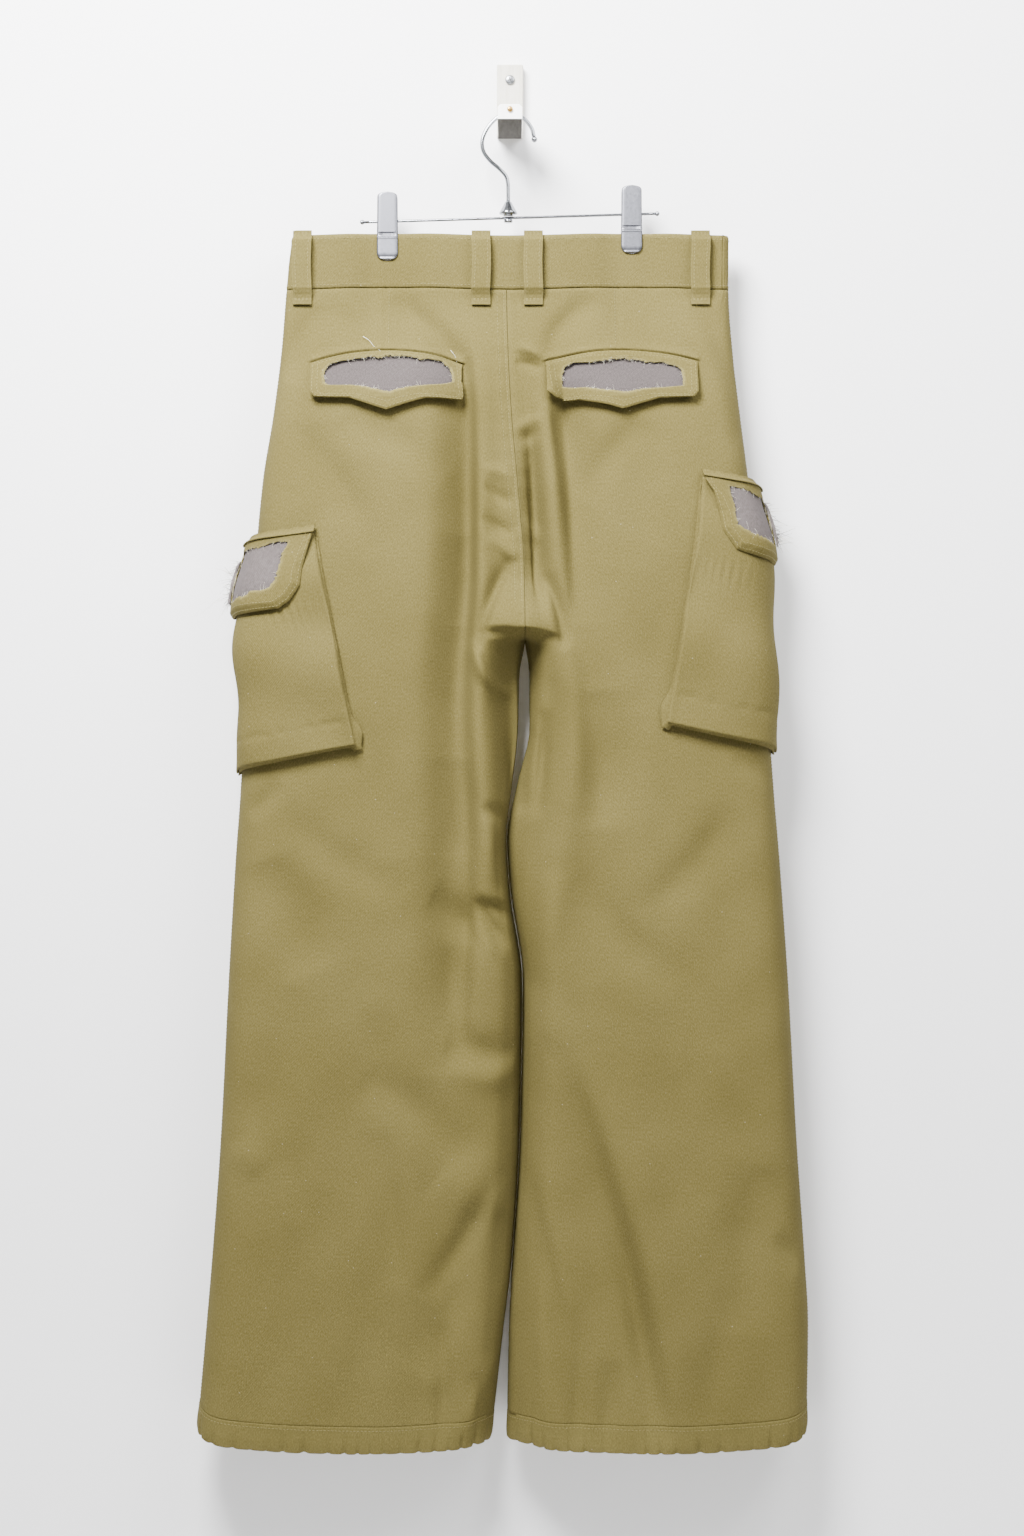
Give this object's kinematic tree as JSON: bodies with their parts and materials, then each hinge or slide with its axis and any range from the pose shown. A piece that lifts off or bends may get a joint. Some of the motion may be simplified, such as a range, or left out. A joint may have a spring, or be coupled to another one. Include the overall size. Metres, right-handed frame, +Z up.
{
  "type": "cargo pants on a clip hanger and wall hook",
  "caption": "Wide cotton cargo pants with bellows pockets and flaps, hung by the waist from a clip hanger on a wall hook.",
  "frame": {"origin": "the middle of the wall plate's back face, where it is fixed to the wall", "axes": "+Z up, -Y out of the wall into the room, +X to the right seen from the room"},
  "size_m": [0.5508, 0.0965, 1.2497],
  "materials": {
    "khaki_cotton": "washed cotton twill",
    "grey_lining": "brushed grey cotton lining",
    "horn_button": "horn-look resin",
    "painted_wood": "cream paint on wood",
    "chrome_wire": "bright chrome plate",
    "clip_steel": "plated sheet steel",
    "steel_screw": "plated pan head",
    "brass_screw": "turned brass"
  },
  "bodies": {
    "root": {"back_left": "khaki_cotton", "back_right": "khaki_cotton", "front_left": "khaki_cotton", "front_right": "khaki_cotton", "hem_left": "khaki_cotton", "hem_right": "khaki_cotton", "waistband": "khaki_cotton", "fly_placket": "khaki_cotton", "belt_loop_side_left": "khaki_cotton", "belt_loop_back_left": "khaki_cotton", "belt_loop_back_right": "khaki_cotton", "belt_loop_side_right": "khaki_cotton", "belt_loop_front_left": "khaki_cotton", "belt_loop_front_right": "khaki_cotton", "back_flap_left": "khaki_cotton", "back_flap_right": "khaki_cotton", "back_flap_lining_left": "grey_lining", "back_flap_lining_right": "grey_lining", "cargo_face_left": "khaki_cotton", "cargo_face_right": "khaki_cotton", "cargo_gusset_left": "khaki_cotton", "cargo_gusset_right": "khaki_cotton", "cargo_flap_left": "khaki_cotton", "cargo_flap_right": "khaki_cotton", "cargo_flap_band_left": "khaki_cotton", "cargo_flap_band_right": "khaki_cotton", "cargo_flap_lining_left": "grey_lining", "cargo_flap_lining_right": "grey_lining", "cargo_torn_edge_left": "grey_lining", "cargo_torn_edge_right": "grey_lining", "waist_button": "horn_button", "wall_plate": "painted_wood", "wall_arm": "painted_wood", "plate_screw": "steel_screw", "arm_screw": "brass_screw", "hanger_hook": "chrome_wire", "hanger_hook_tip": "chrome_wire", "hanger_ferrule": "chrome_wire", "hanger_nut": "chrome_wire", "hanger_rod": "chrome_wire", "hanger_rod_tip_left": "chrome_wire", "hanger_rod_tip_right": "chrome_wire", "clip_left_near": "clip_steel", "clip_left_far": "clip_steel", "clip_left_spring": "clip_steel", "clip_right_near": "clip_steel", "clip_right_far": "clip_steel", "clip_right_spring": "clip_steel"}
  },
  "joints": []
}
